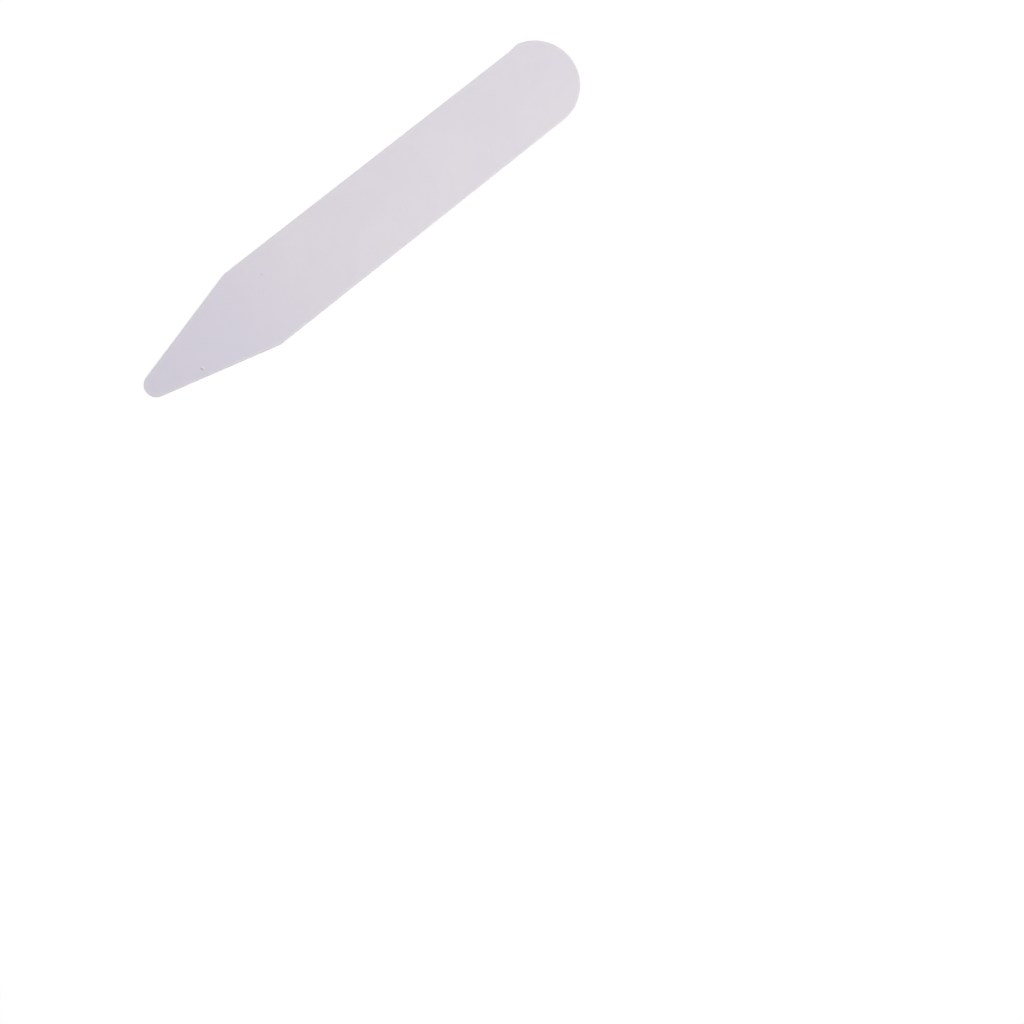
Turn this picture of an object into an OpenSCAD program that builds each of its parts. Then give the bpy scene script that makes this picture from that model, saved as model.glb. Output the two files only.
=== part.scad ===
// Collar stay: one flat strip die-cut from plastic sheet, with a blunt point at one end
// and a round end at the other. It lies flat, point towards -X, lip side towards +Y.
// The origin is the middle of the underside.

/* [Strip] */
// Overall length, from the tip to the top of the round end
stay_l = 57.2; // [45:0.1:80]
// Width across the shoulders, where the point begins
shoulder_w = 9.45; // [8.5:0.05:12]
// Width where the round end begins, a little less than at the shoulders
neck_w = 9.23; // [8.2:0.01:12]
// Thickness of the sheet
sheet_t = 0.5; // [0.3:0.05:1.2]

/* [Point] */
// Length of the point, from the tip to the shoulders
point_l = 14; // [10:0.5:18]
// Radius of the blunt tip
tip_r = 1.3; // [0.6:0.05:2]

/* [Round end] */
// How far the end's arc would stand past the plain side, if it ran on
arc_over_plain = 0.005; // [0.005:0.005:0.1]
// How far the end's arc would stand past the lipped side, if it ran on
arc_over_lipped = 0.29; // [0.2:0.01:0.5]
// Height of the lip that the off-centre end stroke leaves on one side
lip_h = 0.14; // [0.04:0.01:0.19]
// Length of the flank that climbs from the side to the lip
lip_run = 1.2; // [0.5:0.1:2]

/* [Hidden] */

// Segments of each round
round_fn = 128;

half_shoulder = shoulder_w / 2;
half_neck = neck_w / 2;

// Arc of the round end: its radius, its sideways shift and where its centre lies
end_r = (neck_w + arc_over_plain + arc_over_lipped) / 2;
end_shift = (arc_over_lipped - arc_over_plain) / 2;
neck_x = stay_l - end_r;

// Lip: its height above the middle line, and where it meets the arc
lip_y = half_neck + lip_h;
lip_x = neck_x + sqrt(pow(end_r, 2) - pow(lip_y - end_shift, 2));
flank_x = lip_x - lip_run;

// Half angle of the point, whose edges touch the tip's circle
shoulder_dx = point_l - tip_r;
point_angle = atan2(half_shoulder, shoulder_dx) - asin(tip_r / norm([shoulder_dx, half_shoulder]));

// Where the point's edges would meet if they weren't blunted, and where they touch the circle
apex_x = tip_r - tip_r / sin(point_angle);
touch_x = tip_r - tip_r * sin(point_angle);

// The strip is drawn past the round end, and the end stroke cuts it back
blank_x = stay_l + 2;

// Middle of the finished width, which the lip moves a little off the middle line
mid_y = (max(half_shoulder, lip_y) - half_shoulder) / 2;

// Half width of the strip at x: the sides close in slowly from the shoulders to the neck
function side_y(x) =
    half_shoulder - (half_shoulder - half_neck) * (x - point_l) / (neck_x - point_l);

// Sharp-pointed strip before its ends are rounded, with the flank and lip on its +Y side
module sharp_blank() {
    polygon([
        [apex_x, 0],
        [point_l, half_shoulder],
        [flank_x, side_y(flank_x)],
        [lip_x, lip_y],
        [blank_x, lip_y],
        [blank_x, -side_y(blank_x)],
        [point_l, -half_shoulder]
    ]);
}

// Where both ends are round: the discs of the tip and the round end, and all between them
module rounded_reach() {
    translate([tip_r, 0]) circle(r = tip_r, $fn = round_fn);
    translate([touch_x, -shoulder_w]) square([neck_x - touch_x, 2 * shoulder_w]);
    translate([neck_x, end_shift]) circle(r = end_r, $fn = round_fn);
}

// The stay: the blank with both ends rounded, cut through the sheet
module stay() {
    color([0.86, 0.84, 0.87])
        translate([-stay_l / 2, -mid_y, 0])
            linear_extrude(height = sheet_t)
                intersection() {
                    sharp_blank();
                    rounded_reach();
                }
}

stay();
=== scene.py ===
"""Looks of a die-cut plastic collar stay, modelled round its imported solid.

The stay is worked out in millimetres and its mesh is made in metres, in the frame's own axes:
the point is towards -X, the lipped side towards +Y, and the underside lies on the floor at z = 0.
"""

import logging
import math
from abc import ABC, abstractmethod
from dataclasses import dataclass, field
from enum import Enum
from typing import ClassVar, Union

import bmesh
import bpy
import numpy as np
from mathutils import Matrix, Vector
from mathutils import geometry, noise


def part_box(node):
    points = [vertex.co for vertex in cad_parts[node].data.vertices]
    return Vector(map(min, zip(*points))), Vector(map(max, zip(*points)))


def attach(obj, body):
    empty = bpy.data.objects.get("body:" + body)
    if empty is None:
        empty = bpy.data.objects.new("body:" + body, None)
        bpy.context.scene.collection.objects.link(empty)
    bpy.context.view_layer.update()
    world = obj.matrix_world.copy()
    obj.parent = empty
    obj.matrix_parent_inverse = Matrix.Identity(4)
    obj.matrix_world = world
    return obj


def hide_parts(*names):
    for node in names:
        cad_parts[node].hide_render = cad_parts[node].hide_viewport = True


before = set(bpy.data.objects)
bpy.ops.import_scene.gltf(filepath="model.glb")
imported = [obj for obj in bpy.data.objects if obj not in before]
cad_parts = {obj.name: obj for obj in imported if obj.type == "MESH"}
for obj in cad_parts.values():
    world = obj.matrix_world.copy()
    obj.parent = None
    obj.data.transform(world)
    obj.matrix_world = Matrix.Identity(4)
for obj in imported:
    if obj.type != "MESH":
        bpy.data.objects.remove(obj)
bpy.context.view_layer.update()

MM = 0.001

log = logging.getLogger("collar_stay")

Colour = tuple[float, float, float]
Triple = tuple[float, float, float]
Feed = Union[float, Colour, bpy.types.NodeSocket]
Ring = list[bmesh.types.BMVert]
Layers = dict["Mark", bmesh.types.BMLayerItem]


class CutZone(Enum):
    """Bands that a die leaves round a cut sheet, from its top face down to its underside."""

    TOP = "top"
    ROLL = "roll"
    BURNISH = "burnish"
    BREAK = "break"
    BURR = "burr"
    UNDERSIDE = "underside"


class FinishSlot(Enum):
    """Material slots of the stay's mesh, by index."""

    SHEET = 0
    CUT = 1


class SocketKind(Enum):
    """Kinds of socket that a shader effect takes or gives."""

    VALUE = "NodeSocketFloat"
    COLOUR = "NodeSocketColor"
    VECTOR = "NodeSocketVector"


class Mark(Enum):
    """Values that the mesh's vertices carry and the finishes read."""

    RIM = "rim"
    TORN = "torn"
    GRIME = "grime"
    # Where a painted highlight lightens the face beside a pit.
    PALE = "pale"


def bell(gap: Union[float, np.ndarray]) -> Union[float, np.ndarray]:
    """Bell curve, 1 at a gap of 0, with the gap counted in the curve's own widths."""
    return np.exp(-0.5 * gap**2)


@dataclass(frozen=True)
class Line:
    """Straight run of an outline, from start to end, in millimetres."""

    start: tuple[float, float]
    end: tuple[float, float]

    def points(self, step: float) -> np.ndarray:
        """Points along the run.

        Args:
            step: Largest distance between two points.

        Returns:
            Rows of x and y, with the start and without the end.
        """
        start, end = np.array(self.start), np.array(self.end)
        count = max(2, math.ceil(np.linalg.norm(end - start) / step))
        share = np.linspace(0.0, 1.0, count, endpoint=False)[:, None]
        return start + share * (end - start)


@dataclass(frozen=True)
class Arc:
    """Round run of an outline about a centre, counter-clockwise, in millimetres and radians."""

    centre: tuple[float, float]
    radius: float
    start: float
    end: float

    def points(self, step: float) -> np.ndarray:
        """Points along the run.

        Args:
            step: Largest distance between two points.

        Returns:
            Rows of x and y, with the start and without the end.
        """
        count = max(4, math.ceil(self.radius * (self.end - self.start) / step))
        turn = np.linspace(self.start, self.end, count, endpoint=False)
        return np.array(self.centre) + self.radius * np.column_stack((np.cos(turn), np.sin(turn)))


@dataclass(frozen=True)
class Loop:
    """Closed outline as evenly spaced points, with their outward directions.

    Travel is how far round the outline each point lies, in millimetres.
    """

    points: np.ndarray
    outward: np.ndarray
    travel: np.ndarray


@dataclass
class StayOutline:
    """Plan of the stay: blunt point, shoulders, nearly parallel sides and an off-centre round end.

    Sizes are in millimetres. Places are measured from the tip and the strip's middle line,
    and sample() moves them to the frame's own origin.
    """

    length: float = 57.2
    shoulder_width: float = 9.45
    neck_width: float = 9.23
    point_length: float = 14.0
    tip_radius: float = 1.3
    arc_over_plain: float = 0.005
    arc_over_lipped: float = 0.29
    lip_height: float = 0.14
    lip_run: float = 1.2
    corner_ease: float = 0.11
    ease_reach: float = 3.0
    rough_steps: int = 3
    corner_rounds: int = 12

    def __post_init__(self) -> None:
        """Works out the round end, the lip and the point from the driving sizes."""
        self.half_shoulder = self.shoulder_width / 2
        self.half_neck = self.neck_width / 2
        self.end_radius = (self.neck_width + self.arc_over_plain + self.arc_over_lipped) / 2
        self.end_shift = (self.arc_over_lipped - self.arc_over_plain) / 2
        self.neck_x = self.length - self.end_radius
        self.lip_y = self.half_neck + self.lip_height
        self.lip_x = self.neck_x + math.sqrt(self.end_radius**2 - (self.lip_y - self.end_shift) ** 2)
        reach = self.point_length - self.tip_radius
        slant = math.hypot(reach, self.half_shoulder)
        self.point_angle = math.atan2(self.half_shoulder, reach) - math.asin(self.tip_radius / slant)

    def side_y(self, x: float) -> float:
        """Half width of the strip at x, which closes in slowly from the shoulders to the neck."""
        share = (x - self.point_length) / (self.neck_x - self.point_length)
        return self.half_shoulder - (self.half_shoulder - self.half_neck) * share

    def plain_corner(self) -> tuple[float, float]:
        """Where the plain side meets the round end's arc, closed in on round by round.

        Returns:
            The corner's x and y, with y below the middle line.
        """
        x = self.neck_x
        for _ in range(self.corner_rounds):
            rise = self.side_y(x) + self.end_shift
            x = self.neck_x + math.sqrt(max(0.0, self.end_radius**2 - rise**2))
        return x, -self.side_y(x)

    def runs(self) -> list[Union[Line, Arc]]:
        """The outline's runs, counter-clockwise from the tip.

        Returns:
            Straight and round runs, each ending where the next one starts.
        """
        touch_x = self.tip_radius * (1 - math.sin(self.point_angle))
        touch_y = self.tip_radius * math.cos(self.point_angle)
        quarter = math.pi / 2
        flank_x = self.lip_x - self.lip_run
        corner = self.plain_corner()
        centre = (self.neck_x, self.end_shift)
        arc_start = math.atan2(corner[1] - self.end_shift, corner[0] - self.neck_x)
        arc_end = math.atan2(self.lip_y - self.end_shift, self.lip_x - self.neck_x)
        tip_start = quarter + self.point_angle
        tip_end = 3 * quarter - self.point_angle
        return [
            Arc((self.tip_radius, 0.0), self.tip_radius, tip_start, tip_end),
            Line((touch_x, -touch_y), (self.point_length, -self.half_shoulder)),
            Line((self.point_length, -self.half_shoulder), corner),
            Arc(centre, self.end_radius, arc_start, arc_end),
            Line((self.lip_x, self.lip_y), (flank_x, self.side_y(flank_x))),
            Line((flank_x, self.side_y(flank_x)), (self.point_length, self.half_shoulder)),
            Line((self.point_length, self.half_shoulder), (touch_x, touch_y)),
        ]

    def sample(self, step: float) -> Loop:
        """Walks the outline at an even pace and eases its corners as a worn die does.

        Args:
            step: Distance between two points, in millimetres.

        Returns:
            The closed loop, measured from the middle of the stay's box.
        """
        rough = np.vstack([run.points(step / self.rough_steps) for run in self.runs()])
        leg = np.linalg.norm(np.roll(rough, -1, axis=0) - rough, axis=1)
        walked = np.concatenate(([0.0], np.cumsum(leg)))
        count = round(walked[-1] / step)
        travel = np.linspace(0.0, walked[-1], count, endpoint=False)
        closed = np.vstack((rough, rough[:1]))
        points = np.column_stack([np.interp(travel, walked, closed[:, k]) for k in range(2)])
        points = self.eased(points, walked[-1] / count)
        ahead = np.roll(points, -1, axis=0) - np.roll(points, 1, axis=0)
        outward = np.column_stack((ahead[:, 1], -ahead[:, 0]))
        outward /= np.linalg.norm(outward, axis=1)[:, None]
        middle = (max(self.half_shoulder, self.lip_y) - self.half_shoulder) / 2
        return Loop(points - (self.length / 2, middle), outward, travel)

    def eased(self, points: np.ndarray, pace: float) -> np.ndarray:
        """Rounds the corners of a closed loop by a running mean that fades to both sides.

        Args:
            points: Rows of x and y at an even pace.
            pace: Distance between two rows, in millimetres.

        Returns:
            The loop with its corners rounded.
        """
        reach = math.ceil(self.ease_reach * self.corner_ease / pace)
        shifts = np.arange(-reach, reach + 1)
        shares = bell(shifts * pace / self.corner_ease)
        total = sum(share * np.roll(points, shift, axis=0) for share, shift in zip(shares, shifts))
        return total / shares.sum()


@dataclass(frozen=True)
class ProfileRow:
    """One ring of the cut edge: how far it lies inside the outline, how high, and in which band."""

    inset: float
    height: float
    zone: CutZone


@dataclass
class DieEdge:
    """Cross-section that the die leaves, in millimetres.

    From the top: a slight swell beside the cut, a rolled corner, a smooth band, a torn band and
    a burr. The rows are how many rings shape each of them.
    """

    thickness: float = 0.5
    face_inset: float = 0.44
    swell_inset: float = 0.20
    swell: float = 0.005
    swell_rows: int = 6
    roll_run: float = 0.05
    roll_drop: float = 0.045
    roll_rows: int = 8
    burnish_share: float = 0.44
    burnish_rows: int = 3
    torn_run: float = 0.022
    torn_rows: int = 5
    burr_height: float = 0.006
    burr_top: float = 0.024
    burr_foot: float = 0.012
    underside_insets: tuple[float, ...] = (0.09, 0.19, 0.44)

    def rows(self) -> list[ProfileRow]:
        """The rings from the top face's rim down to the underside's rim.

        Returns:
            One row for each ring, in order.
        """
        top = self.thickness
        rows = []
        for share in np.linspace(0.0, 1.0, self.swell_rows):
            inset = self.face_inset + share * (self.swell_inset - self.face_inset)
            rise = self.swell * (1 - math.cos(math.pi * share)) / 2
            rows.append(ProfileRow(inset, top - self.swell + rise, CutZone.TOP))
        for turn in np.linspace(0.0, math.pi / 2, self.roll_rows):
            inset = self.roll_run * (1 - math.sin(turn))
            drop = self.roll_drop * (1 - math.cos(turn))
            rows.append(ProfileRow(inset, top - drop, CutZone.ROLL))
        torn_top = top * (1 - self.burnish_share) - self.roll_drop
        for height in np.linspace(top - self.roll_drop, torn_top, self.burnish_rows + 1)[1:]:
            rows.append(ProfileRow(0.0, height, CutZone.BURNISH))
        for share in np.linspace(0.0, 1.0, self.torn_rows + 1)[1:]:
            height = torn_top + share * (self.burr_top - torn_top)
            rows.append(ProfileRow(self.torn_run * share, height, CutZone.BREAK))
        foot = self.torn_run + self.burr_height
        rows.append(ProfileRow(foot, 0.0, CutZone.BURR))
        rows.append(ProfileRow(foot + self.burr_foot, 0.0, CutZone.BURR))
        for inset in self.underside_insets:
            rows.append(ProfileRow(inset, self.burr_height, CutZone.UNDERSIDE))
        return rows


@dataclass(frozen=True)
class Nick:
    """Small bite that handling has taken out of the cut edge.

    The place is a share of the way round the outline, and the sizes are in millimetres.
    """

    place: float
    width: float
    depth: float

    def bite(self, loop: Loop) -> np.ndarray:
        """How far the nick pushes each point of the outline inwards.

        Args:
            loop: The outline.

        Returns:
            A depth in millimetres for each point.
        """
        around = loop.travel[-1] + loop.travel[1]
        gap = np.abs(loop.travel - self.place * around)
        gap = np.minimum(gap, around - gap)
        return self.depth * bell(gap / (self.width / 2))


@dataclass(frozen=True)
class Pit:
    """Small pressed-in mark on the top face, with settled grime and a paler patch beside it, a painted
    highlight where a raised lip would catch the light.

    The place is in the frame's own axes. Sizes are in millimetres, the lean is in degrees and
    the grime is a share. The painted highlight's size and shift are in lengths and widths of the pit.
    """

    x: float
    y: float
    length: float
    width: float
    depth: float
    lean: float
    grime: float
    painted_highlight_size: float = 1.15
    painted_highlight_shift: float = 1.15
    close_reach: float = 0.9

    def hold(self, x: float, y: float, size: float = 1.0, shift: float = 0.0) -> float:
        """How strongly the mark holds at a place, 1 in its middle and fading outwards.

        Args:
            x: Place along the stay.
            y: Place across it.
            size: Factor on the mark's size.
            shift: How far the middle is moved sideways, towards the painted highlight.

        Returns:
            A share between 0 and 1.
        """
        turn = math.radians(self.lean)
        along = (x - self.x) * math.cos(turn) + (y - self.y) * math.sin(turn)
        across = (y - self.y) * math.cos(turn) - (x - self.x) * math.sin(turn) - shift
        long_gap = along / (size * self.length / 4)
        wide_gap = across / (size * self.width / 4)
        return float(bell(math.hypot(long_gap, wide_gap)))

    def painted_highlight(self, x: float, y: float) -> float:
        """How strongly the painted highlight lightens a place beside the pit, as if a raised lip caught
        the light.
        """
        return self.hold(x, y, self.painted_highlight_size, self.width * self.painted_highlight_shift)

    def close_points(self, spacing: float) -> np.ndarray:
        """Closely spaced points over and round the pit, which its shape needs.

        Args:
            spacing: Distance between two points, in millimetres.

        Returns:
            Rows of x and y.
        """
        reach = self.length * self.close_reach
        ticks = np.arange(-reach, reach, spacing)
        grid = np.array([(a, b) for a in ticks for b in ticks if math.hypot(a, b) < reach])
        return grid + (self.x, self.y)


@dataclass(frozen=True)
class Relief:
    """Slow unevenness of a rolled plastic sheet, in millimetres.

    The draw is how much slower it changes along the stay than across it.
    """

    wave: float = 5.5
    wave_depth: float = 0.0045
    ripple: float = 1.6
    ripple_depth: float = 0.0009
    ripple_layer: float = 9.0
    draw: float = 0.45

    def sink(self, x: float, y: float, layer: float) -> float:
        """How far the face lies below its highest level at a place.

        Args:
            x: Place along the stay.
            y: Place across it.
            layer: Slice of the noise, so that the two faces differ.

        Returns:
            A depth that is never negative.
        """
        along = x * self.draw
        slow = noise.noise(Vector((along / self.wave, y / self.wave, layer)))
        quick = noise.noise(Vector((along / self.ripple, y / self.ripple, layer + self.ripple_layer)))
        return (1 + slow) / 2 * self.wave_depth + (1 + quick) / 2 * self.ripple_depth


class NodeBench:
    """A node tree with short ways to add and wire nodes."""

    def __init__(self, tree: bpy.types.NodeTree) -> None:
        """Clears the tree and keeps it."""
        self.tree = tree
        tree.nodes.clear()

    def node(self, kind: str, **settings: object) -> bpy.types.Node:
        """Adds a node.

        Args:
            kind: The node's type name after "ShaderNode".
            **settings: Properties to set on the node.

        Returns:
            The new node.
        """
        made = self.tree.nodes.new("ShaderNode" + kind)
        for name, value in settings.items():
            setattr(made, name, value)
        return made

    def feed(self, socket: bpy.types.NodeSocket, value: Feed) -> None:
        """Gives an input socket a number or colour, or wires another socket to it.

        Args:
            socket: The input.
            value: What goes in.
        """
        if isinstance(value, bpy.types.NodeSocket):
            self.tree.links.new(value, socket)
        elif isinstance(value, tuple) and socket.type == "RGBA":
            socket.default_value = (*value, 1.0)
        else:
            socket.default_value = value

    def math(self, operation: str, *values: Feed) -> bpy.types.NodeSocket:
        """Adds a Math node.

        Args:
            operation: The node's operation.
            *values: Its inputs, in order.

        Returns:
            Its output.
        """
        made = self.node("Math", operation=operation)
        for socket, value in zip(made.inputs, values):
            self.feed(socket, value)
        return made.outputs[0]

    def axis(self, vector: bpy.types.NodeSocket, name: str) -> bpy.types.NodeSocket:
        """Takes one axis of a vector.

        Args:
            vector: The vector.
            name: X, Y or Z.

        Returns:
            The value along that axis.
        """
        made = self.node("SeparateXYZ")
        self.feed(made.inputs[0], vector)
        return made.outputs[name]

    def stretch(
        self, vector: bpy.types.NodeSocket, scale: Triple, turn: float = 0.0
    ) -> bpy.types.NodeSocket:
        """Turns a place about z, in degrees, then scales each of its axes.

        Args:
            vector: The place.
            scale: Factor for each axis.
            turn: Angle in degrees.

        Returns:
            The new place.
        """
        made = self.node("Mapping", vector_type="TEXTURE")
        self.feed(made.inputs["Vector"], vector)
        made.inputs["Rotation"].default_value = (0.0, 0.0, math.radians(turn))
        made.inputs["Scale"].default_value = tuple(1 / factor for factor in scale)
        return made.outputs[0]

    def bend(self, vector: bpy.types.NodeSocket, scale: float, reach: Feed) -> bpy.types.NodeSocket:
        """Pushes a place sideways by a slow cloud, so that what is drawn there bends.

        Args:
            vector: The place.
            scale: Bends for each unit of the place.
            reach: How far the cloud pushes.

        Returns:
            The new place.
        """
        slow = self.node("TexNoise", noise_dimensions="3D")
        self.feed(slow.inputs["Vector"], vector)
        slow.inputs["Scale"].default_value = scale
        slow.inputs["Detail"].default_value = 0.0
        centred = self.node("VectorMath", operation="SUBTRACT")
        self.feed(centred.inputs[0], slow.outputs["Color"])
        centred.inputs[1].default_value = (0.5, 0.5, 0.5)
        push = self.node("VectorMath", operation="SCALE")
        self.feed(push.inputs[0], centred.outputs[0])
        self.feed(push.inputs["Scale"], reach)
        made = self.node("VectorMath", operation="ADD")
        self.feed(made.inputs[0], vector)
        self.feed(made.inputs[1], push.outputs[0])
        return made.outputs[0]

    def cloud(
        self, vector: bpy.types.NodeSocket, scale: Feed, detail: float = 2.0, rough: float = 0.5
    ) -> bpy.types.NodeSocket:
        """Adds a Noise texture.

        Args:
            vector: The place.
            scale: Features for each unit of the place.
            detail: Number of finer layers.
            rough: Weight of the finer layers.

        Returns:
            A value about 0.5.
        """
        made = self.node("TexNoise", noise_dimensions="3D")
        self.feed(made.inputs["Vector"], vector)
        self.feed(made.inputs["Scale"], scale)
        made.inputs["Detail"].default_value = detail
        made.inputs["Roughness"].default_value = rough
        return made.outputs["Fac"]

    def window(self, value: Feed, low: float, high: float) -> bpy.types.NodeSocket:
        """Maps a value to 0 at low and 1 at high, with soft ends.

        Args:
            value: The value.
            low: Where the result is 0.
            high: Where the result is 1.

        Returns:
            The mapped value.
        """
        made = self.node("MapRange", interpolation_type="SMOOTHSTEP")
        self.feed(made.inputs["Value"], value)
        made.inputs["From Min"].default_value = low
        made.inputs["From Max"].default_value = high
        return made.outputs["Result"]

    def pick(self, share: Feed, first: Feed, second: Feed) -> bpy.types.NodeSocket:
        """Goes from one number to another.

        Args:
            share: 0 for the first, 1 for the second.
            first: One number.
            second: The other number.

        Returns:
            The number at that share.
        """
        made = self.node("MapRange", interpolation_type="LINEAR")
        self.feed(made.inputs["Value"], share)
        self.feed(made.inputs["To Min"], first)
        self.feed(made.inputs["To Max"], second)
        return made.outputs["Result"]

    def blend(self, share: Feed, first: Feed, second: Feed) -> bpy.types.NodeSocket:
        """Mixes two colours.

        Args:
            share: 0 for the first, 1 for the second.
            first: One colour.
            second: The other colour.

        Returns:
            The mixed colour.
        """
        made = self.node("Mix", data_type="RGBA", blend_type="MIX")
        colours = [socket for socket in made.inputs if socket.type == "RGBA"]
        self.feed(made.inputs["Factor"], share)
        self.feed(colours[0], first)
        self.feed(colours[1], second)
        return [socket for socket in made.outputs if socket.type == "RGBA"][0]

    def choose(self, share: Feed, first: bpy.types.Node, second: bpy.types.Node) -> bpy.types.Node:
        """Mixes two shaders.

        Args:
            share: 0 for the first, 1 for the second.
            first: One shader.
            second: The other shader.

        Returns:
            The mixing node.
        """
        made = self.node("MixShader")
        self.feed(made.inputs[0], share)
        self.feed(made.inputs[1], first.outputs[0])
        self.feed(made.inputs[2], second.outputs[0])
        return made

    def place_in_mm(self) -> bpy.types.NodeSocket:
        """Adds the surface's own place in millimetres, which rides with the piece.

        Returns:
            The place.
        """
        made = self.node("VectorMath", operation="SCALE")
        self.feed(made.inputs[0], self.node("TexCoord").outputs["Object"])
        made.inputs["Scale"].default_value = 1 / MM
        return made.outputs[0]

    def mark(self, which: Mark) -> bpy.types.NodeSocket:
        """The value of one of the mesh's own marks."""
        return self.node("Attribute", attribute_name=which.value).outputs["Fac"]


@dataclass(frozen=True)
class Port:
    """A named input or output of an effect, with an input's starting value."""

    name: str
    kind: SocketKind
    start: Union[float, tuple[float, ...], None] = None


class Effect(ABC):
    """A shader node group that is built once and placed in each material that uses it."""

    title: ClassVar[str]
    takes: ClassVar[tuple[Port, ...]]
    gives: ClassVar[tuple[Port, ...]]

    @abstractmethod
    def wire(self, bench: NodeBench, inputs: bpy.types.NodeOutputs) -> dict[str, bpy.types.NodeSocket]:
        """Builds the effect's nodes.

        Args:
            bench: The group's tree.
            inputs: What the group takes, by name.

        Returns:
            What the group gives, by name.
        """

    def tree(self) -> bpy.types.NodeTree:
        """The effect's node group, built on first use.

        Returns:
            The group.
        """
        found = bpy.data.node_groups.get(self.title)
        if found is not None:
            return found
        made = bpy.data.node_groups.new(self.title, "ShaderNodeTree")
        for way, ports in (("INPUT", self.takes), ("OUTPUT", self.gives)):
            for port in ports:
                socket = made.interface.new_socket(port.name, in_out=way, socket_type=port.kind.value)
                if port.start is not None:
                    socket.default_value = port.start
        bench = NodeBench(made)
        entry = made.nodes.new("NodeGroupInput")
        leaving = made.nodes.new("NodeGroupOutput")
        for name, socket in self.wire(bench, entry.outputs).items():
            made.links.new(socket, leaving.inputs[name])
        return made

    def place(self, bench: NodeBench, **values: Feed) -> bpy.types.NodeOutputs:
        """Puts the effect in a material.

        Args:
            bench: The material's tree.
            **values: Numbers, colours or sockets for the group's inputs, with _ for a space.

        Returns:
            The group's outputs, by name.
        """
        group = bench.node("Group", node_tree=self.tree())
        for name, value in values.items():
            bench.feed(group.inputs[name.replace("_", " ").capitalize()], value)
        return group.outputs


class SheetGrain(Effect):
    """Fine tooth, soft orange peel and faint draw lines of a rolled sheet."""

    title = "sheet_grain"
    takes = (
        Port("Place", SocketKind.VECTOR),
        Port("Tooth", SocketKind.VALUE, 6.0),
        Port("Peel", SocketKind.VALUE, 0.8),
        Port("Draw lines", SocketKind.VALUE, 0.2),
    )
    gives = (Port("Height", SocketKind.VALUE), Port("Mottle", SocketKind.VALUE))
    draw_scale: ClassVar[Triple] = (0.05, 3.2, 1.0)
    peel_height: ClassVar[float] = 1.4
    peel_mottle: ClassVar[float] = 0.7

    def wire(self, bench: NodeBench, inputs: bpy.types.NodeOutputs) -> dict[str, bpy.types.NodeSocket]:
        """Adds tooth, peel and draw lines into one height, and keeps tooth and peel as a mottle.

        Args:
            bench: The group's tree.
            inputs: What the group takes, by name.

        Returns:
            The height and the mottle.
        """
        tooth = bench.cloud(inputs["Place"], inputs["Tooth"], detail=3.0, rough=0.6)
        peel = bench.cloud(inputs["Place"], inputs["Peel"])
        drawn = bench.cloud(bench.stretch(inputs["Place"], self.draw_scale), 1.0, rough=0.55)
        height = bench.math("MULTIPLY_ADD", peel, self.peel_height, tooth)
        height = bench.math("MULTIPLY_ADD", drawn, inputs["Draw lines"], height)
        mottle = bench.math("MULTIPLY", tooth, 1 - self.peel_mottle)
        mottle = bench.math("MULTIPLY_ADD", peel, self.peel_mottle, mottle)
        return {"Height": height, "Mottle": mottle}


class ToneDrift(Effect):
    """Slow drift of a colour between a cooler and a warmer tone, with a fine cloudiness."""

    title = "tone_drift"
    takes = (
        Port("Place", SocketKind.VECTOR),
        Port("Cool", SocketKind.COLOUR, (0.7, 0.7, 0.75, 1.0)),
        Port("Warm", SocketKind.COLOUR, (0.75, 0.7, 0.7, 1.0)),
        Port("Patch", SocketKind.VALUE, 0.1),
        Port("Cloud", SocketKind.VALUE, 1.0),
    )
    gives = (Port("Colour", SocketKind.COLOUR),)
    patch_weight: ClassVar[float] = 0.7
    all_cool: ClassVar[float] = 0.36
    all_warm: ClassVar[float] = 0.64

    def wire(self, bench: NodeBench, inputs: bpy.types.NodeOutputs) -> dict[str, bpy.types.NodeSocket]:
        """Mixes the two tones by slow patches and a little by fine clouds.

        Args:
            bench: The group's tree.
            inputs: What the group takes, by name.

        Returns:
            The drifting colour.
        """
        patch = bench.cloud(inputs["Place"], inputs["Patch"])
        cloud = bench.cloud(inputs["Place"], inputs["Cloud"], detail=3.0, rough=0.6)
        both = bench.math("MULTIPLY", cloud, 1 - self.patch_weight)
        both = bench.math("MULTIPLY_ADD", patch, self.patch_weight, both)
        warmth = bench.window(both, self.all_cool, self.all_warm)
        return {"Colour": bench.blend(warmth, inputs["Cool"], inputs["Warm"])}


@dataclass(frozen=True)
class Streak:
    """One family of hairline scratches, with its direction in degrees and sizes in millimetres."""

    turn: float
    run: float
    gap: float
    line_window: tuple[float, float] = (0.68, 0.76)
    patch_scale: float = 0.21
    patch_window: tuple[float, float] = (0.47, 0.60)

    def wire(
        self, bench: NodeBench, bent: bpy.types.NodeSocket, place: bpy.types.NodeSocket
    ) -> bpy.types.NodeSocket:
        """Draws the family as thin streaks in loose patches.

        Args:
            bench: The tree that it is drawn in.
            bent: Place that the streaks follow, bent already.
            place: Plain place, which the patches follow.

        Returns:
            1 on a scratch and 0 off it.
        """
        narrow = bench.stretch(bent, (1 / self.run, 1 / self.gap, 1.0), self.turn)
        line = bench.window(bench.cloud(narrow, 1.0, detail=1.0, rough=0.4), *self.line_window)
        wide = bench.stretch(place, (self.patch_scale, self.patch_scale, 1.0), self.turn)
        loose = bench.window(bench.cloud(wide, 1.0), *self.patch_window)
        return bench.math("MULTIPLY", line, loose)


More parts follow.
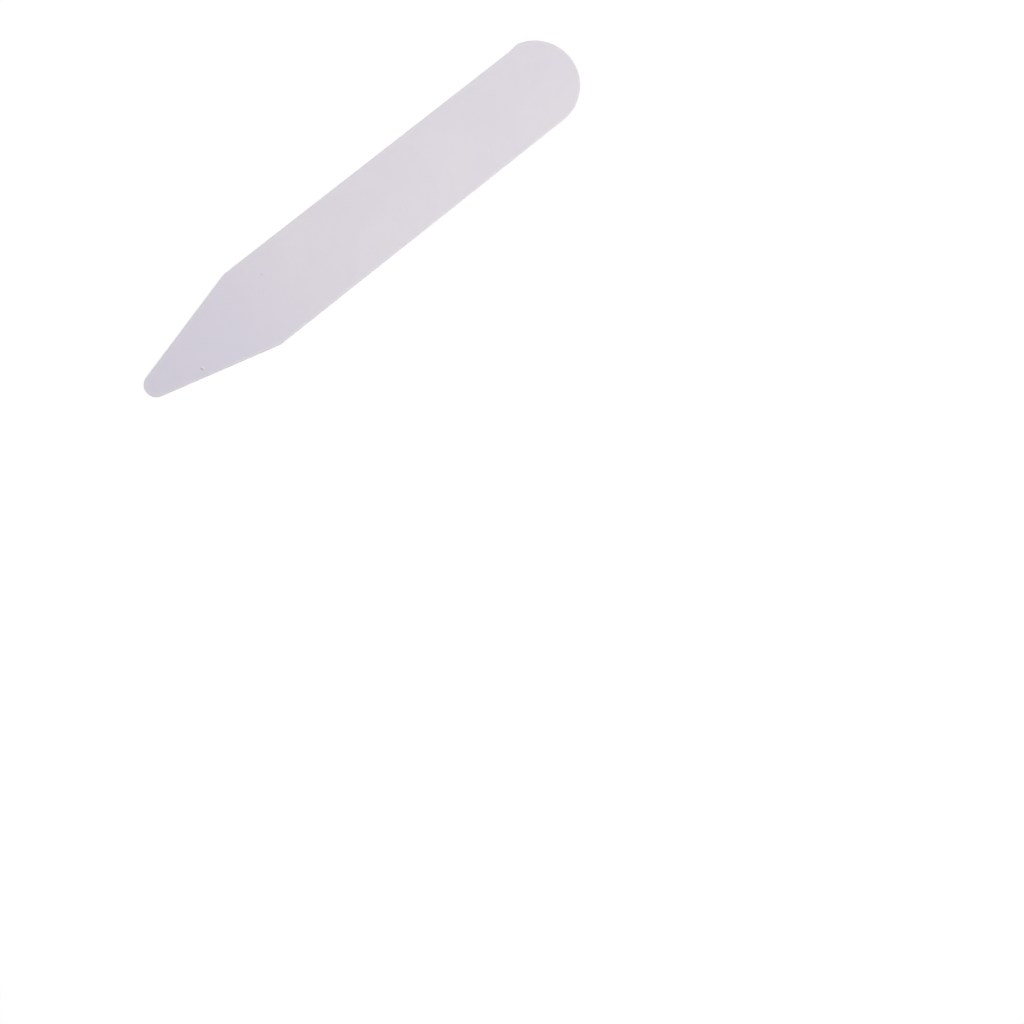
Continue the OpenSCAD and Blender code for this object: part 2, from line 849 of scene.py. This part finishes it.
class HandlingWear(Effect):
    """Hairline scratches and sparse flecks of dust that a loose plastic piece gathers."""

    title = "handling_wear"
    takes = (
        Port("Place", SocketKind.VECTOR),
        Port("Sway", SocketKind.VALUE, 1.6),
        Port("Fleck spacing", SocketKind.VALUE, 0.3),
        Port("Fleck size", SocketKind.VALUE, 0.02),
    )
    gives = (Port("Scratch", SocketKind.VALUE), Port("Fleck", SocketKind.VALUE))
    streaks: ClassVar[tuple[Streak, ...]] = (
        Streak(turn=14.0, run=3.4, gap=0.15),
        Streak(turn=-31.0, run=2.1, gap=0.13),
        Streak(turn=72.0, run=1.5, gap=0.12),
    )
    sway_scale: ClassVar[float] = 0.16
    fleck_share: ClassVar[float] = 0.35

    def wire(self, bench: NodeBench, inputs: bpy.types.NodeOutputs) -> dict[str, bpy.types.NodeSocket]:
        """Draws bent scratches in a few directions, and dots in a few of many small cells.

        Args:
            bench: The group's tree.
            inputs: What the group takes, by name.

        Returns:
            The scratches and the flecks, each 1 on the mark and 0 off it.
        """
        bent = bench.bend(inputs["Place"], self.sway_scale, inputs["Sway"])
        drawn = [streak.wire(bench, bent, inputs["Place"]) for streak in self.streaks]
        scratch = drawn[0]
        for lines in drawn[1:]:
            scratch = bench.math("MAXIMUM", scratch, lines)
        cells = bench.node("TexVoronoi", feature="F1", voronoi_dimensions="3D")
        bench.feed(cells.inputs["Vector"], inputs["Place"])
        bench.feed(cells.inputs["Scale"], inputs["Fleck spacing"])
        near = bench.math("LESS_THAN", cells.outputs["Distance"], inputs["Fleck size"])
        lot = bench.node("SeparateColor")
        bench.feed(lot.inputs["Color"], cells.outputs["Color"])
        few = bench.math("LESS_THAN", lot.outputs["Red"], self.fleck_share)
        return {"Scratch": scratch, "Fleck": bench.math("MULTIPLY", near, few)}


@dataclass(frozen=True)
class Skin:
    """What a plastic finish varies over the surface."""

    colour: bpy.types.NodeSocket
    dullness: bpy.types.NodeSocket
    height: bpy.types.NodeSocket


@dataclass(frozen=True)
class PlasticFinish(ABC):
    """White plastic that lets a little light bleed through it. Depths are in millimetres."""

    title: ClassVar[str]
    roughness: float = 0.45
    specular: float = 0.42
    refraction: float = 1.53
    bump_depth: float = 0.005
    bleed_share: float = 0.3
    bleed_depth: float = 0.45
    bleed_tint: Colour = (1.0, 0.93, 0.96)

    @abstractmethod
    def skin(self, bench: NodeBench, place: bpy.types.NodeSocket) -> Skin:
        """Builds what varies over the surface.

        Args:
            bench: The material's tree.
            place: The surface's place in millimetres.

        Returns:
            Colour, dullness and bump height.
        """

    def make(self) -> bpy.types.Material:
        """Builds the material.

        Returns:
            The material, named for the finish.
        """
        made = bpy.data.materials.new(self.title)
        made.use_nodes = True
        bench = NodeBench(made.node_tree)
        skin = self.skin(bench, bench.place_in_mm())
        bump = bench.node("Bump")
        bump.inputs["Strength"].default_value = 1.0
        bump.inputs["Distance"].default_value = self.bump_depth * MM
        bench.feed(bump.inputs["Height"], skin.height)
        shader = bench.node("BsdfPrincipled")
        bench.feed(shader.inputs["Base Color"], skin.colour)
        bench.feed(shader.inputs["Roughness"], skin.dullness)
        bench.feed(shader.inputs["Normal"], bump.outputs[0])
        shader.inputs["Specular IOR Level"].default_value = self.specular
        shader.inputs["IOR"].default_value = self.refraction
        shader.inputs["Subsurface Weight"].default_value = self.bleed_share
        shader.inputs["Subsurface Radius"].default_value = self.bleed_tint
        shader.inputs["Subsurface Scale"].default_value = self.bleed_depth * MM
        bench.feed(bench.node("OutputMaterial").inputs["Surface"], shader.outputs[0])
        return made


@dataclass(frozen=True)
class SheetFinish(PlasticFinish):
    """Satin-matt rolled plastic: the stay's two faces and the rolled corner round them.

    The painted shade of the point, a darker and cooler tone where the key light fades, starts and is
    full at places along X, in millimetres.
    """

    title = "rolled_sheet"
    roughness: float = 0.55
    specular: float = 0.30
    bump_depth: float = 0.007
    cool: Colour = (0.739, 0.709, 0.770)
    warm: Colour = (0.754, 0.721, 0.770)
    # Painted shade: a darker, bluer tone for the point, where the key light fades.
    point: Colour = (0.716, 0.690, 0.778)
    rim: Colour = (0.749, 0.728, 0.768)
    # Painted highlight: paler colour beside the pits, where a raised lip would catch the light.
    painted_highlight: Colour = (0.82, 0.80, 0.84)
    grime: Colour = (0.40, 0.375, 0.41)
    point_shade_start: float = -7.0
    point_shade_full: float = -18.5
    point_shade_share: float = 0.8
    rim_share: float = 0.6
    fleck_strength: float = 0.5
    mottle_dullness: float = 0.12
    scratch_dullness: float = 0.10
    rim_gloss: float = 0.08
    scratch_depth: float = 0.5

    def skin(self, bench: NodeBench, place: bpy.types.NodeSocket) -> Skin:
        """Builds a drifting lavender white with painted shade towards the point, a painted highlight
        beside the pits, and grain and wear.

        Args:
            bench: The material's tree.
            place: The surface's place in millimetres.

        Returns:
            Colour, dullness and bump height.
        """
        grain = SheetGrain().place(bench, place=place, tooth=7.5, peel=0.75, draw_lines=0.9)
        wear = HandlingWear().place(bench, place=place, fleck_spacing=0.33, fleck_size=0.022)
        tones = {"cool": self.cool, "warm": self.warm}
        drift = ToneDrift().place(bench, place=place, patch=0.13, cloud=0.9, **tones)
        # Painted shade: the face darkens and cools towards the point, standing in for the key light
        # fading there.
        point_shade = bench.window(bench.axis(place, "X"), self.point_shade_start, self.point_shade_full)
        point_shade = bench.math("MULTIPLY", point_shade, self.point_shade_share)
        colour = bench.blend(point_shade, drift["Colour"], self.point)
        rim = bench.mark(Mark.RIM)
        colour = bench.blend(bench.math("MULTIPLY", rim, self.rim_share), colour, self.rim)
        # Painted highlight beside the pits.
        colour = bench.blend(bench.mark(Mark.PALE), colour, self.painted_highlight)
        dust = bench.math("MULTIPLY", wear["Fleck"], self.fleck_strength)
        dirt = bench.math("MAXIMUM", bench.mark(Mark.GRIME), dust)
        colour = bench.blend(dirt, colour, self.grime)
        even = self.roughness - self.mottle_dullness / 2
        dull = bench.math("MULTIPLY_ADD", grain["Mottle"], self.mottle_dullness, even)
        dull = bench.math("MULTIPLY_ADD", wear["Scratch"], self.scratch_dullness, dull)
        dull = bench.math("MULTIPLY_ADD", rim, -self.rim_gloss, dull)
        height = bench.math("MULTIPLY_ADD", wear["Scratch"], -self.scratch_depth, grain["Height"])
        return Skin(colour, dull, height)


@dataclass(frozen=True)
class CutFinish(PlasticFinish):
    """Die-cut wall: a smooth band over a torn, paler and rougher one."""

    title = "cut_edge"
    roughness: float = 0.42
    specular: float = 0.28
    bump_depth: float = 0.008
    cool: Colour = (0.728, 0.702, 0.760)
    warm: Colour = (0.744, 0.714, 0.758)
    torn: Colour = (0.775, 0.755, 0.790)
    grime: Colour = (0.35, 0.33, 0.35)
    torn_share: float = 0.7
    fleck_strength: float = 0.35
    torn_dullness: float = 0.34
    mottle_dullness: float = 0.10
    comb_scale: Triple = (9.0, 9.0, 0.8)
    smooth_comb: float = 0.25
    torn_comb: float = 1.0
    grain_depth: float = 0.3

    def skin(self, bench: NodeBench, place: bpy.types.NodeSocket) -> Skin:
        """Builds a wall combed upright by the die, rougher and paler where it tore.

        Args:
            bench: The material's tree.
            place: The surface's place in millimetres.

        Returns:
            Colour, dullness and bump height.
        """
        grain = SheetGrain().place(bench, place=place, tooth=11.0, peel=2.5, draw_lines=0.3)
        wear = HandlingWear().place(bench, place=place, fleck_spacing=0.8, fleck_size=0.03)
        tones = {"cool": self.cool, "warm": self.warm}
        drift = ToneDrift().place(bench, place=place, patch=0.3, cloud=2.0, **tones)
        torn = bench.mark(Mark.TORN)
        colour = bench.blend(bench.math("MULTIPLY", torn, self.torn_share), drift["Colour"], self.torn)
        dust = bench.math("MULTIPLY", wear["Fleck"], self.fleck_strength)
        colour = bench.blend(dust, colour, self.grime)
        dull = bench.math("MULTIPLY_ADD", torn, self.torn_dullness, self.roughness)
        dull = bench.math("MULTIPLY_ADD", grain["Mottle"], self.mottle_dullness, dull)
        combed = bench.cloud(bench.stretch(place, self.comb_scale), 1.0, detail=3.0, rough=0.65)
        depth = bench.math("MULTIPLY_ADD", torn, self.torn_comb, self.smooth_comb)
        height = bench.math("MULTIPLY", depth, combed)
        height = bench.math("MULTIPLY_ADD", grain["Height"], self.grain_depth, height)
        return Skin(colour, dull, height)


@dataclass(frozen=True)
class SweepFinish:
    """White paper, clear from below.

    It throws light on the stay as white paper does. The camera sees it lit from behind, just up
    to plain white, so that only a faint part of each shadow shows. A ray no longer than the
    touch, in millimetres, passes through it, so that the underside of what lies there is lit
    from below.
    """

    title: ClassVar[str] = "paper_sweep"
    cool: Colour = (0.86, 0.86, 0.87)
    warm: Colour = (0.88, 0.87, 0.87)
    roughness: float = 0.9
    specular: float = 0.1
    shade_share: float = 0.18
    glow: float = 0.90
    touch: float = 0.08

    def make(self) -> bpy.types.Material:
        """Builds the material.

        Returns:
            The material, named for the paper.
        """
        made = bpy.data.materials.new(self.title)
        made.use_nodes = True
        bench = NodeBench(made.node_tree)
        tones = {"cool": self.cool, "warm": self.warm}
        drift = ToneDrift().place(bench, place=bench.place_in_mm(), patch=0.02, cloud=0.4, **tones)
        paper = bench.node("BsdfPrincipled")
        bench.feed(paper.inputs["Base Color"], drift["Colour"])
        paper.inputs["Roughness"].default_value = self.roughness
        paper.inputs["Specular IOR Level"].default_value = self.specular
        black = bench.node("BsdfDiffuse")
        black.inputs["Color"].default_value = (0.0, 0.0, 0.0, 1.0)
        backlight = bench.node("Emission")
        backlight.inputs["Strength"].default_value = self.glow
        lit = bench.node("AddShader")
        bench.feed(lit.inputs[0], bench.choose(self.shade_share, black, paper).outputs[0])
        bench.feed(lit.inputs[1], backlight.outputs[0])
        path = bench.node("LightPath")
        seen = bench.choose(path.outputs["Is Camera Ray"], paper, lit)
        touching = bench.math("LESS_THAN", path.outputs["Ray Length"], self.touch * MM)
        clear = bench.math("MAXIMUM", bench.node("NewGeometry").outputs["Backfacing"], touching)
        sheet = bench.choose(clear, seen, bench.node("BsdfTransparent"))
        bench.feed(bench.node("OutputMaterial").inputs["Surface"], sheet.outputs[0])
        return made


@dataclass
class StaySheet:
    """The stay itself: its outline, its cut edge, its two faces and the marks of handling.

    Sizes are in millimetres. The layers are slices of the noise that each unevenness is cut
    from, so that no two are alike.
    """

    outline: StayOutline = field(default_factory=StayOutline)
    edge: DieEdge = field(default_factory=DieEdge)
    relief: Relief = field(default_factory=Relief)
    pace: float = 0.085
    face_spacing: float = 0.3
    rim_gap: float = 0.135
    pit_spacing: float = 0.035
    clearance: float = 0.004
    die_wander: float = 0.006
    die_wave: float = 2.4
    tear_wander: float = 0.009
    tear_scale: Triple = (3.1, 3.1, 2.5)
    top_layer: float = 0.0
    underside_layer: float = 20.0
    die_layer: float = 3.0
    tear_layer: float = 5.0
    join_distance: float = 1e-6
    nicks: tuple[Nick, ...] = (
        Nick(place=0.118, width=0.16, depth=0.030),
        Nick(place=0.385, width=0.22, depth=0.022),
        Nick(place=0.742, width=0.18, depth=0.034),
    )
    pits: tuple[Pit, ...] = (
        Pit(x=-22.62, y=-1.66, length=0.48, width=0.20, depth=0.028, lean=-77.0, grime=1.0),
        Pit(x=-12.9, y=1.2, length=0.24, width=0.12, depth=0.010, lean=20.0, grime=0.12),
        Pit(x=15.6, y=-2.3, length=0.22, width=0.12, depth=0.008, lean=75.0, grime=0.08),
    )

    def build(self) -> bpy.types.Object:
        """Builds the stay as one closed mesh.

        Returns:
            The object, linked into the scene.
        """
        loop = self.outline.sample(self.pace)
        rows = self.edge.rows()
        mesh = bmesh.new()
        layers = {which: mesh.verts.layers.float.new(which.value) for which in Mark}
        rings = [self.ring(mesh, loop, row, layers) for row in rows]
        for upper, lower, row in zip(rings, rings[1:], rows[1:]):
            self.band(mesh, upper, lower, row.zone)
        self.cover(mesh, rings[0], rows[0], self.pits, layers)
        self.cover(mesh, rings[-1], rows[-1], (), layers)
        bmesh.ops.recalc_face_normals(mesh, faces=mesh.faces)
        data = bpy.data.meshes.new("stay_sheet")
        mesh.to_mesh(data)
        mesh.free()
        made = bpy.data.objects.new("stay_sheet", data)
        bpy.context.scene.collection.objects.link(made)
        return made

    def dress(self, piece: bpy.types.Object) -> None:
        """Gives the stay its two finishes, in the order of their slots."""
        piece.data.materials.append(SheetFinish().make())
        piece.data.materials.append(CutFinish().make())

    def ring(self, mesh: bmesh.types.BMesh, loop: Loop, row: ProfileRow, layers: Layers) -> Ring:
        """Adds one ring of the cut edge.

        Args:
            mesh: The mesh.
            loop: The outline.
            row: Where the ring lies in the edge's cross-section.
            layers: The mesh's marks.

        Returns:
            The ring's vertices.
        """
        inset = row.inset + self.wander(loop) + sum(nick.bite(loop) for nick in self.nicks)
        if row.zone is CutZone.BREAK:
            inset = inset + self.tear(loop, row.height)
        places = loop.points - loop.outward * inset[:, None]
        made = []
        for x, y in places:
            vertex = mesh.verts.new((x * MM, y * MM, self.level(x, y, row) * MM))
            vertex[layers[Mark.RIM]] = max(0.0, 1 - row.inset / self.edge.face_inset)
            vertex[layers[Mark.TORN]] = float(row.zone in (CutZone.BREAK, CutZone.BURR))
            made.append(vertex)
        return made

    def wander(self, loop: Loop) -> np.ndarray:
        """How far the worn die strays inwards at each point of the outline.

        Args:
            loop: The outline.

        Returns:
            A distance in millimetres for each point.
        """
        places = loop.points / self.die_wave
        stray = np.array([noise.noise(Vector((x, y, self.die_layer))) for x, y in places])
        return self.clearance + self.die_wander * (1 + stray) / 2

    def tear(self, loop: Loop, height: float) -> np.ndarray:
        """How far the torn band is ripped inwards at each point of the outline.

        Args:
            loop: The outline.
            height: Height of the ring, in millimetres.

        Returns:
            A distance in millimetres for each point.
        """
        places = loop.points * self.tear_scale[:2]
        slice_z = height * self.tear_scale[2] + self.tear_layer
        rips = np.array([noise.noise(Vector((x, y, slice_z))) for x, y in places])
        return self.tear_wander * (1 + rips) / 2

    def level(self, x: float, y: float, row: ProfileRow) -> float:
        """Height of a point, with the unevenness of the face that it belongs to.

        Args:
            x: Place along the stay.
            y: Place across it.
            row: Where the point lies in the edge's cross-section.

        Returns:
            The height in millimetres.
        """
        if row.zone in (CutZone.TOP, CutZone.ROLL):
            return row.height - self.relief.sink(x, y, self.top_layer)
        if row.zone is CutZone.UNDERSIDE:
            return row.height + self.relief.sink(x, y, self.underside_layer)
        return row.height

    def band(self, mesh: bmesh.types.BMesh, upper: Ring, lower: Ring, zone: CutZone) -> None:
        """Joins two rings by a band of faces.

        Args:
            mesh: The mesh.
            upper: The ring above.
            lower: The ring below.
            zone: The band's place in the edge.
        """
        cut = zone in (CutZone.BURNISH, CutZone.BREAK, CutZone.BURR)
        finish = FinishSlot.CUT if cut else FinishSlot.SHEET
        count = len(upper)
        for k in range(count):
            after = (k + 1) % count
            face = mesh.faces.new((upper[k], lower[k], lower[after], upper[after]))
            face.smooth = True
            face.material_index = finish.value

    def inner_points(self, rim: np.ndarray) -> np.ndarray:
        """Points that carry a face's relief, clear of its rim and closer together at the pits.

        Args:
            rim: The face's rim, as rows of x and y in millimetres.

        Returns:
            Rows of x and y in millimetres.
        """
        low, high = rim.min(axis=0), rim.max(axis=0)
        rise = self.face_spacing * math.sqrt(3) / 2
        grid = []
        for k, y in enumerate(np.arange(low[1], high[1], rise)):
            start = low[0] + (k % 2) * self.face_spacing / 2
            grid.extend((x, y) for x in np.arange(start, high[0], self.face_spacing))
        points = np.array(grid)
        for pit in self.pits:
            away = np.hypot(points[:, 0] - pit.x, points[:, 1] - pit.y)
            points = np.vstack((points[away > pit.length], pit.close_points(self.pit_spacing)))
        x, y = points.T
        inside = y < np.interp(x, *self.half_rim(rim, 1)) - self.rim_gap
        inside &= y > np.interp(x, *self.half_rim(rim, -1)) + self.rim_gap
        inside &= (x > low[0] + self.rim_gap) & (x < high[0] - self.rim_gap)
        return points[inside]

    def half_rim(self, rim: np.ndarray, side: int) -> tuple[np.ndarray, np.ndarray]:
        """One side of a rim as y over x.

        Args:
            rim: Rows of x and y.
            side: 1 for the side towards +Y, -1 for the other.

        Returns:
            The x values in rising order and their y values.
        """
        rows = rim[rim[:, 1] * side > 0]
        rows = rows[np.argsort(rows[:, 0])]
        return rows[:, 0], rows[:, 1]

    def cover(
        self,
        mesh: bmesh.types.BMesh,
        rim: Ring,
        row: ProfileRow,
        pits: tuple[Pit, ...],
        layers: Layers,
    ) -> None:
        """Fills a rim with a face of even triangles that carries relief and pits.

        Args:
            mesh: The mesh.
            rim: The ring that bounds the face.
            row: Where that ring lies in the edge's cross-section.
            pits: The face's pits.
            layers: The mesh's marks.
        """
        edge_points = np.array([(vertex.co.x / MM, vertex.co.y / MM) for vertex in rim])
        count = len(rim)
        points = np.vstack((edge_points, self.inner_points(edge_points)))
        border = [(k, (k + 1) % count) for k in range(count)]
        within_border = 1
        found, _, triangles, sources, _, _ = geometry.delaunay_2d_cdt(
            [Vector(point) for point in points], border, [], within_border, self.join_distance
        )
        vertices = []
        for place, source in zip(found, sources):
            if source and source[0] < count:
                vertices.append(rim[source[0]])
                continue
            x, y = place
            sunk = sum(pit.depth * pit.hold(x, y) for pit in pits)
            vertex = mesh.verts.new((x * MM, y * MM, (self.level(x, y, row) - sunk) * MM))
            vertex[layers[Mark.GRIME]] = min(1.0, sum(pit.grime * pit.hold(x, y) for pit in pits))
            # Painted highlight: how much the face beside the pits is lightened.
            vertex[layers[Mark.PALE]] = min(1.0, sum(pit.painted_highlight(x, y) for pit in pits))
            vertices.append(vertex)
        for corners in triangles:
            face = mesh.faces.new([vertices[k] for k in corners])
            face.smooth = True
            face.material_index = FinishSlot.SHEET.value


@dataclass
class PhotoCamera:
    """Camera placed by where the photograph shows the stay's tip and round end.

    Pixels are in the 1024 by 1024 frame. The floor's normal is given by its slopes to the
    picture's right and down, as seen by the camera. The nearest and farthest are in metres.
    """

    frame_px: float = 1024.0
    lens_px: float = 2000.0
    sensor_mm: float = 36.0
    tip_px: tuple[float, float] = (146.57, 392.6)
    end_px: tuple[float, float] = (570.95, 58.86)
    floor_slope: tuple[float, float] = (-0.07, 0.056)
    nearest: float = 0.005
    farthest: float = 50.0

    def ray(self, pixel: tuple[float, float]) -> Vector:
        """Direction from the camera through a pixel, with x right, y down and z ahead."""
        middle = self.frame_px / 2
        return Vector(((pixel[0] - middle) / self.lens_px, (pixel[1] - middle) / self.lens_px, 1.0))

    def build(self, length: float, height: float) -> bpy.types.Object:
        """Places the camera and makes it the scene's own.

        Args:
            length: The stay's length in metres.
            height: Height in metres of the middle of its sheet.

        Returns:
            The camera's object.
        """
        down = Vector((*self.floor_slope, 1.0)).normalized()
        tip, end = self.ray(self.tip_px), self.ray(self.end_px)
        tip, end = tip / tip.dot(down), end / end.dot(down)
        scale = length / (end - tip).length
        along = (end - tip).normalized()
        up = -down
        across = up.cross(along)
        middle = (tip + end) * scale / 2
        axes = Matrix((along, across, up))
        picture = Matrix(((1, 0, 0), (0, -1, 0), (0, 0, -1)))
        place = -(axes @ middle) + Vector((0.0, 0.0, height))
        lens = bpy.data.cameras.new("photo_camera")
        lens.sensor_width = self.sensor_mm
        lens.lens = self.lens_px / self.frame_px * self.sensor_mm
        lens.clip_start, lens.clip_end = self.nearest, self.farthest
        made = bpy.data.objects.new("photo_camera", lens)
        made.matrix_world = Matrix.Translation(place) @ (axes @ picture).to_4x4()
        bpy.context.scene.collection.objects.link(made)
        bpy.context.scene.camera = made
        return made


@dataclass(frozen=True)
class Softbox:
    """Soft square light with a honeycomb grid, in metres and degrees.

    It stands over the aimed place at a turn about the upright axis and a rise above the floor,
    and the grid narrows its light to the spread.
    """

    aim: tuple[float, float] = (0.014, -0.010)
    turn: float = -50.0
    rise: float = 66.0
    distance: float = 0.30
    side: float = 0.14
    spread: float = 52.0
    watts: float = 0.065
    tint: Colour = (1.0, 0.99, 0.985)

    def build(self) -> bpy.types.Object:
        """Adds the light.

        Returns:
            The light's object.
        """
        lamp = bpy.data.lights.new("key_softbox", "AREA")
        lamp.shape = "SQUARE"
        lamp.size = self.side
        lamp.spread = math.radians(self.spread)
        lamp.energy = self.watts
        lamp.color = self.tint
        turn, rise = math.radians(self.turn), math.radians(self.rise)
        out = Vector((math.cos(turn) * math.cos(rise), math.sin(turn) * math.cos(rise), math.sin(rise)))
        made = bpy.data.objects.new("key_softbox", lamp)
        made.location = Vector((*self.aim, 0.0)) + out * self.distance
        made.rotation_mode = "QUATERNION"
        made.rotation_quaternion = out.to_track_quat("Z", "Y")
        bpy.context.scene.collection.objects.link(made)
        return made


@dataclass
class PaperSweep:
    """Floor of the studio: a round sheet of white paper just under the stay, in metres."""

    radius: float = 6.0
    gap: float = 0.00002
    sides: int = 96

    def build(self) -> bpy.types.Object:
        """Builds the sheet.

        Returns:
            The floor's object, linked into the scene.
        """
        mesh = bmesh.new()
        bmesh.ops.create_circle(mesh, cap_ends=True, segments=self.sides, radius=self.radius)
        data = bpy.data.meshes.new("paper_sweep")
        mesh.to_mesh(data)
        mesh.free()
        made = bpy.data.objects.new("paper_sweep", data)
        made.location.z = -self.gap
        bpy.context.scene.collection.objects.link(made)
        return made

    def dress(self, piece: bpy.types.Object) -> None:
        """Gives the floor its paper."""
        piece.data.materials.append(SweepFinish().make())


@dataclass
class WhiteRoom:
    """Even light all round the stay, brighter from below, and seen as white behind the floor."""

    light: float = 0.40
    under_light: float = 0.80
    seen: float = 0.963

    def build(self) -> bpy.types.World:
        """Builds the room and makes it the scene's own.

        Returns:
            The room's world.
        """
        made = bpy.data.worlds.new("white_room")
        made.use_nodes = True
        bench = NodeBench(made.node_tree)
        direction = bench.node("TexCoord").outputs["Generated"]
        below = bench.math("LESS_THAN", bench.axis(direction, "Z"), 0.0)
        strength = bench.pick(below, self.light, self.under_light)
        strength = bench.pick(bench.node("LightPath").outputs["Is Camera Ray"], strength, self.seen)
        glow = bench.node("Background")
        glow.inputs["Color"].default_value = (1.0, 1.0, 1.0, 1.0)
        bench.feed(glow.inputs["Strength"], strength)
        bench.feed(bench.node("OutputWorld").inputs["Surface"], glow.outputs[0])
        bpy.context.scene.world = made
        return made


@dataclass
class Studio:
    """Paper sweep, softbox and white room, with plain picture tones."""

    sweep: PaperSweep = field(default_factory=PaperSweep)
    softbox: Softbox = field(default_factory=Softbox)
    room: WhiteRoom = field(default_factory=WhiteRoom)

    def build(self) -> None:
        """Adds the floor, the light and the room, and reports each."""
        floor = self.sweep.build()
        self.sweep.dress(floor)
        log.info("%s: radius %.1f m", floor.name, self.sweep.radius)
        light = self.softbox.build()
        log.info("%s: %.3f W over %.2f m", light.name, self.softbox.watts, self.softbox.side)
        room = self.room.build()
        log.info("%s: strength %.2f", room.name, self.room.light)
        tones = bpy.context.scene.view_settings
        tones.view_transform = "Standard"
        tones.look = "None"


def main() -> None:
    """Builds the stay and the studio round it, and reports each piece."""
    logging.basicConfig(level=logging.INFO, format="%(name)s: %(message)s")
    stay = StaySheet()
    piece = stay.build()
    stay.dress(piece)
    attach(piece, "root")
    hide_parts("stay")
    log.info("%s: %d vertices, %d faces", piece.name, len(piece.data.vertices), len(piece.data.polygons))
    Studio().build()
    box_low, box_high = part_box("stay")
    camera = PhotoCamera().build(box_high.x - box_low.x, (box_low.z + box_high.z) / 2)
    log.info("%s: at %s m", camera.name, tuple(round(v, 4) for v in camera.matrix_world.translation))


if __name__ == "__main__":
    main()
